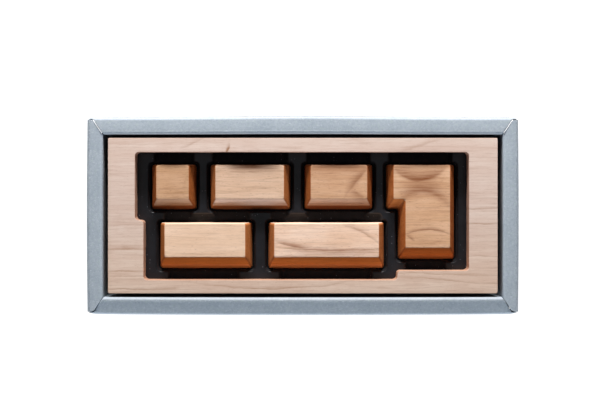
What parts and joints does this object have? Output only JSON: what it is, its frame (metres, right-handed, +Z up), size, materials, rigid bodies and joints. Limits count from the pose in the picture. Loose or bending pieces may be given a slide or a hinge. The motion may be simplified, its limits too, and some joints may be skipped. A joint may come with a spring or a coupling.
{
  "type": "boxed wooden keycap set",
  "caption": "Open board box of wooden keyboard keycaps, held in a black formed tray under a pale wooden plate with a stepped window.",
  "frame": {"origin": "centre of the carton's underside", "axes": "+X along the carton, towards the L-shaped keycap; +Y towards the back edge of the keycaps; +Z up, out of the open box"},
  "size_m": [0.1696, 0.0774, 0.02],
  "materials": {
    "recycled_board": "matt recycled paperboard, blue-grey with fine pale flecks",
    "black_foam": "matt closed-cell foam",
    "black_sheet": "satin thermoformed sheet",
    "pale_wood": "bare sanded wood with fine straight grain",
    "keycap_wood": "oiled satin wood, sanded smooth",
    "stem_plastic": "moulded plastic"
  },
  "bodies": {
    "carton": {"carton_tray": "recycled_board", "base_pad": "black_foam"},
    "tray": {"keycap_tray": "black_sheet"},
    "plate": {"wooden_plate": "pale_wood"},
    "key_1u": {"keycap_1u": "keycap_wood", "stem_1u_centre": "stem_plastic"},
    "key_1_75u": {"keycap_1_75u": "keycap_wood", "stem_1_75u_centre": "stem_plastic"},
    "key_1_5u": {"keycap_1_5u": "keycap_wood", "stem_1_5u_centre": "stem_plastic"},
    "key_iso_enter": {"keycap_iso_enter": "keycap_wood", "stem_iso_enter_centre": "stem_plastic", "stem_iso_enter_side_a": "stem_plastic", "stem_iso_enter_side_b": "stem_plastic"},
    "key_2u": {"keycap_2u": "keycap_wood", "stem_2u_centre": "stem_plastic", "stem_2u_side_a": "stem_plastic", "stem_2u_side_b": "stem_plastic"},
    "key_2_5u": {"keycap_2_5u": "keycap_wood", "stem_2_5u_centre": "stem_plastic", "stem_2_5u_side_a": "stem_plastic", "stem_2_5u_side_b": "stem_plastic"}
  },
  "joints": [
    {"name": "tray_lift", "type": "slide", "parent": "carton", "child": "tray", "axis": [0, 0, 1], "range_m": [0, 0.03]},
    {"name": "plate_lift", "type": "slide", "parent": "tray", "child": "plate", "axis": [0, 0, 1], "range_m": [0, 0.03]},
    {"name": "key_1u_lift", "type": "slide", "parent": "tray", "child": "key_1u", "axis": [0, 0, 1], "range_m": [0, 0.03]},
    {"name": "key_1_75u_lift", "type": "slide", "parent": "tray", "child": "key_1_75u", "axis": [0, 0, 1], "range_m": [0, 0.03]},
    {"name": "key_1_5u_lift", "type": "slide", "parent": "tray", "child": "key_1_5u", "axis": [0, 0, 1], "range_m": [0, 0.03]},
    {"name": "key_iso_enter_lift", "type": "slide", "parent": "tray", "child": "key_iso_enter", "axis": [0, 0, 1], "range_m": [0, 0.03]},
    {"name": "key_2u_lift", "type": "slide", "parent": "tray", "child": "key_2u", "axis": [0, 0, 1], "range_m": [0, 0.03]},
    {"name": "key_2_5u_lift", "type": "slide", "parent": "tray", "child": "key_2_5u", "axis": [0, 0, 1], "range_m": [0, 0.03]}
  ]
}
